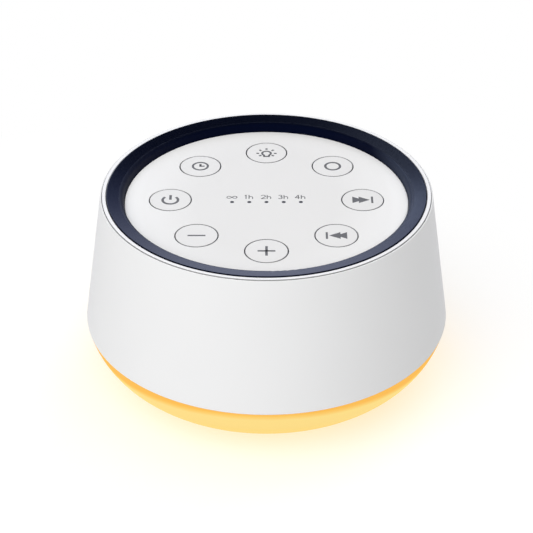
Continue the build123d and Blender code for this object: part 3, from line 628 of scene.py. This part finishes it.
def keyCentre(name):
    # the plunger stands under the middle of its key
    low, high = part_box("plunger_" + name)
    return Vector(((low.x + high.x) / 2, (low.y + high.y) / 2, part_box("key_" + name)[1].z))


skip = {  # mm from the middle of the key
    "back": -3.08, "waist": -1.17, "tip": 2.12, "tall": 1.84, "notch": 0.74,
    "barFrom": 2.5, "barTo": 3.12,
}


def skipOutlines(turned):
    # two solid arrowheads that touch, and the bar they run up against
    back, waist, tall, notch = skip["back"], skip["waist"], skip["tall"], skip["notch"]
    heads = [
        (back, tall), (waist, notch), (waist, tall), (skip["tip"], 0.0),
        (waist, -tall), (waist, -notch), (back, -tall),
    ]
    bar = [
        (skip["barFrom"], tall), (skip["barTo"], tall),
        (skip["barTo"], -tall), (skip["barFrom"], -tall),
    ]
    if turned:
        return [[(-x, y) for x, y in reversed(outline)] for outline in (heads, bar)]
    return [heads, bar]


bulb = {  # mm and degrees from the middle of the glass
    "radius": 1.34, "gape": 55, "neck": 0.78, "foot": -1.95, "footPast": 0.17, "drop": -0.38,
    "rays": (-36, 0, 45, 90, 135, 180, 216), "rayFrom": 2.3, "rayTo": 3.14,
    "lowRays": (-36, 216), "lowRayFrom": 2.0,
}


def bulbStrokes():
    # a bulb that stands on its foot, with rays round it
    neck, foot = bulb["neck"], bulb["foot"]
    glass = arc(0, 0, bulb["radius"], -bulb["gape"], 180 + bulb["gape"])
    wide = neck + bulb["footPast"]
    strokes = [glass + [(-neck, foot)], [(neck, foot), glass[0]], [(-wide, foot), (wide, foot)]]
    for angle in bulb["rays"]:
        near = bulb["lowRayFrom"] if angle in bulb["lowRays"] else bulb["rayFrom"]
        far = near + bulb["rayTo"] - bulb["rayFrom"]
        away = Vector((cos(radians(angle)), sin(radians(angle))))
        strokes.append([tuple(away * near), tuple(away * far)])
    return [shifted(stroke, 0.0, bulb["drop"]) for stroke in strokes]


keyStrokes = {  # strokes, and how wide they are in mm
    "light": (bulbStrokes(), 0.66),
    "timer": ([arc(0, 0, 2.3, 0, 360), [(0, 1.3), (0, -0.22)], [(-0.22, 0), (1.3, 0)]], 0.67),
    "power": ([arc(0, -0.1, 2.3, 134, 406), [(0, 0.1), (0, 2.75)]], 0.77),
    "colour": ([arc(0, 0, 2.26, 0, 360)], 0.73),
    "volume_down": ([[(-2.6, 0), (2.6, 0)]], 0.67),
    "volume_up": ([[(-2.55, 0), (2.55, 0)], [(0, -2.55), (0, 2.55)]], 0.74),
}
for name, (strokes, width) in keyStrokes.items():
    piece = inkStrokes("print_" + name, strokes, keyCentre(name), width, keyInk)
    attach(piece, name + "_key")
skipKeys = ("next", "previous")
for name in skipKeys:
    piece = inkShapes("print_" + name, skipOutlines(name == "previous"), keyCentre(name), keyInk)
    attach(piece, name + "_key")
print("key prints:", len(keyStrokes) + len(skipKeys))

label = {"tall": 2.2, "up": 1.68, "space": 0.36, "pitch": 5.09, "left": 0.16}   # mm
letters = {  # width, then strokes from the lower left corner
    "1": (0.72, [[(-0.06, 1.72), (0.34, 2.2)], [(0.28, 2.2), (0.28, 0.0)]]),
    "2": (1.36, [arc(0.66, 1.53, 0.62, 165, -38) + [(0.04, 0.06)], [(0.0, 0.1), (1.36, 0.1)]]),
    "3": (1.28, [arc(0.6, 1.64, 0.5, 150, -90), arc(0.6, 0.64, 0.58, 90, -150)]),
    "4": (1.42, [[(1.02, 0.0), (1.02, 2.2)], [(1.02, 2.16), (0.04, 0.66)], [(0.0, 0.62), (1.42, 0.62)]]),
    "h": (1.22, [[(0.1, 0.0), (0.1, 2.2)], arc(0.66, 0.84, 0.5, 170, 0) + [(1.16, 0.0)]]),
}
endless = {"wide": 1.5, "tall": 1.75, "drop": 0.2, "step": 8}    # mm, and degrees to a step


def endlessSign():
    # a figure eight on its side
    turns = [radians(angle) for angle in range(0, 361, endless["step"])]
    lobes = [(cos(t) / (1 + sin(t) ** 2), sin(t) * cos(t) / (1 + sin(t) ** 2)) for t in turns]
    return [(endless["wide"] * x, endless["tall"] * y - endless["drop"]) for x, y in lobes]


def wordStrokes(word, x):
    # two letters side by side, with their middle at x
    wide = sum(letters[letter][0] for letter in word) + label["space"]
    left = x - wide / 2
    strokes = []
    for letter in word:
        across, own = letters[letter]
        strokes += [shifted(stroke, left, label["up"] - label["tall"] / 2) for stroke in own]
        left += across + label["space"]
    return strokes


words = ("1h", "2h", "3h", "4h")
labelPlaces = [place * label["pitch"] - label["left"] for place in (-2, -1, 0, 1, 2)]
labelStrokes = [shifted(endlessSign(), labelPlaces[0], label["up"])]
for word, x in zip(words, labelPlaces[1:]):
    labelStrokes += wordStrokes(word, x)
panelTop = Vector((0, 0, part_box("key_panel")[1].z))
labels = inkStrokes("print_timer_labels", labelStrokes, panelTop, prints["labelStroke"], labelInk)
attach(labels, "case")
print("timer labels: infinity to 4 h")


contacts = {  # how many to a row, and mm
    "count": 12, "pitch": 0.5, "wide": 0.25, "long": 3.4, "proud": 0.03, "fromTip": 0.7,
    "halfBlade": 0.35,      # half of the tongue's thickness
}


def goldContacts():
    # a row of flat gold strips on each side of the socket's tongue
    low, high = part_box("power_socket_tongue")
    middle = (low.z + high.z) / 2
    sizes = {
        "Contact Count": contacts["count"],
        "Contact Pitch": contacts["pitch"] * mm,
        "Contact Width": contacts["wide"] * mm,
        "Contact Length": contacts["long"] * mm,
        "Contact Height": 2 * contacts["proud"] * mm,
    }
    nodes, inputs = shapeTree("contactRows", sizes)
    span = inputs["Contact Pitch"] * (inputs["Contact Count"] - 1)
    tipY = high.y - contacts["fromTip"] * mm
    centreY = inputs["Contact Length"] * -0.5 + tipY
    step = nodes.node("ShaderNodeCombineXYZ", {}, {"X": inputs["Contact Pitch"]})
    size = nodes.node("ShaderNodeCombineXYZ", {}, {
        "X": inputs["Contact Width"], "Y": inputs["Contact Length"], "Z": inputs["Contact Height"],
    })
    strip = nodes.node("GeometryNodeMeshCube", {}, {"Size": size})
    rows = []
    for side in (-1, 1):
        start = nodes.node("ShaderNodeCombineXYZ", {}, {
            "X": span * -0.5, "Y": centreY, "Z": middle + side * (contacts["halfBlade"] * mm),
        })
        row = nodes.node("GeometryNodeMeshLine", {}, {
            "Count": inputs["Contact Count"], "Start Location": start, "Offset": step,
        })
        rows.append(nodes.node("GeometryNodeInstanceOnPoints", {}, {"Points": row, "Instance": strip}))
    gold = bareMetal("contact_gold", {
        "colour": (226, 190, 112), "rough": 0.2, "grain": 0.2, "depth": 0.003, "lines": (6.0, 1.0, 1.0),
    })
    endTree(nodes, nodes.node("GeometryNodeJoinGeometry", {}, {0: rows}), gold)
    return grown("socket_contacts", bpy.data.meshes.new("contactSeed"), nodes, sizes)


socketContacts = goldContacts()
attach(socketContacts, "case")
print("socket contacts:", 2 * contacts["count"])


flexing = {  # slot, the radius in mm up to which it moves with the cone, and that where it is clamped
    "speaker_surround": ("black_rubber", 15.35, 16.85),
    "speaker_spider": ("spider_cloth", 7.2, 11.05),
}
mergeWithin = 0.001     # mm


def mergedCopy(name):
    # the node's mesh with its loose patches joined up, and each corner shaded as it was
    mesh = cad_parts[name].data.copy()
    facing = [tuple(corner.vector) for corner in mesh.corner_normals]
    whole = bmesh.new()
    whole.from_mesh(mesh)
    bmesh.ops.remove_doubles(whole, verts=whole.verts, dist=mergeWithin * mm)
    whole.to_mesh(mesh)
    whole.free()
    mesh.normals_split_custom_set(facing)
    return mesh


def bentAcross(name):
    # a ring of the speaker, put in place of its node as a merged copy
    mesh = mergedCopy(name)
    piece = placed(name + "_flexing", mesh)
    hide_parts(name)
    points = [vertex.co.copy() for vertex in mesh.vertices]
    for vertex, point in zip(mesh.vertices, points):
        vertex.co = (point.xy.length, 0, 0)     # laid out by radius for a moment, and put back below
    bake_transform(piece)
    for vertex, point in zip(mesh.vertices, points):
        vertex.co = point


for name, (slot, moving, clamped) in flexing.items():
    bentAcross(name)
print("flexing rings:", len(flexing))


studio = {
    "skyForLight": 0.53,
    "skyMirrored": [        # by the sine of the height: a bright horizon under a dark ceiling
        (0.0, (218, 226, 255)), (0.24, (218, 226, 255)), (0.48, (96, 112, 166)),
        (0.58, (16, 20, 40)), (0.68, (0, 0, 0)),
    ],
    "mirroredGain": 2.4,
    "floorColour": (221, 221, 221),
    "floorLift": 0.345,             # white added to the lit floor, so that it ends up white
    "floorHalf": 6.0,               # metres, as are the next four
    # painted light: the spot sits to the front left, so the cast shadow to the right and back fades into
    # painted white
    "fadeSpot": (-0.06, -0.05),     # the middle of the lit floor
    "fadeFrom": 0.13,               # how far out from there it starts to turn plain white
    "fadeTo": 0.2,                  # and how far out it has turned
    "lampsAim": 0.03,               # how high up the lamps point
}
softLook = {"colour": (1, 1, 1), "lights": True, "mirrored": True}
cardLook = {"away": 0.9, "wide": 0.24, "tall": 0.24, "lights": False, "mirrored": True}
lamps = {  # degrees from the front towards the left, degrees above the floor, metres, watts
    "keySoftbox": {
        **softLook, "azimuth": 27.5, "rise": 41.0, "away": 1.6, "wide": 2.4, "tall": 2.4,
        "power": 21.2,
    },
    "backSoftbox": {
        **softLook, "azimuth": 214.0, "rise": 40.0, "away": 1.6, "wide": 1.4, "tall": 1.4,
        "power": 5.0, "mirrored": False,
    },
    "ringCard": {
        **cardLook, "azimuth": 168.0, "rise": 27.0, "power": 0.77, "colour": (0.7, 0.82, 1.0),
    },
    "highCard": {
        **cardLook, "azimuth": 166.0, "rise": 42.0, "power": 0.28, "colour": (0.75, 0.86, 1.0),
    },
}
pureWhite = (1, 1, 1, 1)


def viewRays(nodes):
    # the rays by which a surface is seen, straight, in a mirror or through something clear
    rays = ("Is Camera Ray", "Is Glossy Ray", "Is Transmission Ray")
    return [nodes.node("ShaderNodeLightPath", output=ray) for ray in rays]


def makeWorld():
    # white where it is seen, a white horizon where it is mirrored, and a plain sky as a light
    world = bpy.data.worlds.new("studio")
    world.use_nodes = True
    nodes = Nodes(world.node_tree)
    straight, mirror, through = viewRays(nodes)
    heading = nodes.node("ShaderNodeTexCoord", output="Generated")
    height = nodes.node("ShaderNodeSeparateXYZ", {}, {0: heading}, "Z")
    mirrored = nodes.ramp(height, [(at, paint(*c)) for at, c in studio["skyMirrored"]])
    plain = (studio["skyForLight"],) * 3 + (1.0,)
    light = nodes.mixed(mirror, plain, mirrored)
    sky = nodes.node("ShaderNodeBackground", {}, {
        "Color": nodes.mixed(straight.either(through), light, pureWhite),
        "Strength": mirror * (studio["mirroredGain"] - 1) + 1.0,
    })
    nodes.node("ShaderNodeOutputWorld", {}, {"Surface": sky})
    bpy.context.scene.world = world


def floorFinish():
    # takes shadow and glow near the piece, fades to plain white, and is clear from below
    finish = Finish("floor_white")
    matt = finish.node("ShaderNodeBsdfDiffuse", {}, {"Color": paint(*studio["floorColour"])})
    lift = finish.node("ShaderNodeEmission", {}, {"Color": pureWhite, "Strength": studio["floorLift"]})
    lit = finish.node("ShaderNodeAddShader", {}, {0: matt, 1: lift})
    white = finish.node("ShaderNodeEmission", {}, {"Color": pureWhite, "Strength": 1.0})
    spot = {0: finish.place, 1: (*studio["fadeSpot"], 0)}
    out = finish.node("ShaderNodeVectorMath", {"operation": "DISTANCE"}, spot, "Value")
    fade = finish.node("ShaderNodeMapRange", {}, {
        "Value": out, "From Min": studio["fadeFrom"], "From Max": studio["fadeTo"],
    })
    seen = finish.node("ShaderNodeMixShader", {}, {0: fade, 1: lit, 2: white})
    clear = finish.node("ShaderNodeBsdfTransparent")
    straight, mirror, through = viewRays(finish)
    below = finish.node("ShaderNodeNewGeometry", output="Backfacing")
    shown = straight.either(mirror).either(through) * (1 - below)
    whole = finish.node("ShaderNodeMixShader", {}, {0: shown, 1: clear, 2: seen})
    finish.node("ShaderNodeOutputMaterial", {}, {"Surface": whole})
    return finish.material


def makeFloor():
    half = studio["floorHalf"]
    mesh = bpy.data.meshes.new("floor")
    corners = [(-half, -half, 0), (half, -half, 0), (half, half, 0), (-half, half, 0)]
    mesh.from_pydata(corners, [], [(0, 1, 2, 3)])
    mesh.materials.append(floorFinish())
    placed("floor", mesh)


def makeLamps():
    target = Vector((0, 0, studio["lampsAim"]))
    for name, look in lamps.items():
        light = bpy.data.lights.new(name, "AREA")
        light.shape, light.energy = "ELLIPSE", look["power"]
        light.size, light.size_y, light.color = look["wide"], look["tall"], look["colour"]
        lamp = bpy.data.objects.new(name, light)
        bpy.context.scene.collection.objects.link(lamp)
        turn, rise = radians(look["azimuth"]), radians(look["rise"])
        away = Vector((-sin(turn) * cos(rise), -cos(turn) * cos(rise), sin(rise)))
        lamp.location = target + away * look["away"]
        lamp.rotation_euler = away.to_track_quat("Z", "Y").to_euler()
        lamp.visible_camera = False
        lamp.visible_diffuse = look["lights"]
        lamp.visible_glossy = look["mirrored"]


shot = {  # mm, and degrees above the floor
    "lens": 134.70, "sensor": 36.0, "distance": 607.965, "elevation": 32.50, "aim": 34.85,
}


def makeCamera():
    data = bpy.data.cameras.new("camera")
    data.lens, data.sensor_width = shot["lens"], shot["sensor"]
    camera = bpy.data.objects.new("camera", data)
    bpy.context.scene.collection.objects.link(camera)
    rise = radians(shot["elevation"])
    away = Vector((0, -cos(rise), sin(rise))) * shot["distance"]
    camera.location = (Vector((0, 0, shot["aim"])) + away) * mm
    camera.rotation_euler = (pi / 2 - rise, 0, 0)
    bpy.context.scene.camera = camera


makeWorld()
makeFloor()
makeLamps()
makeCamera()
bpy.context.scene.view_settings.view_transform = "Standard"
print("studio: camera, floor and", len(lamps), "lamps")
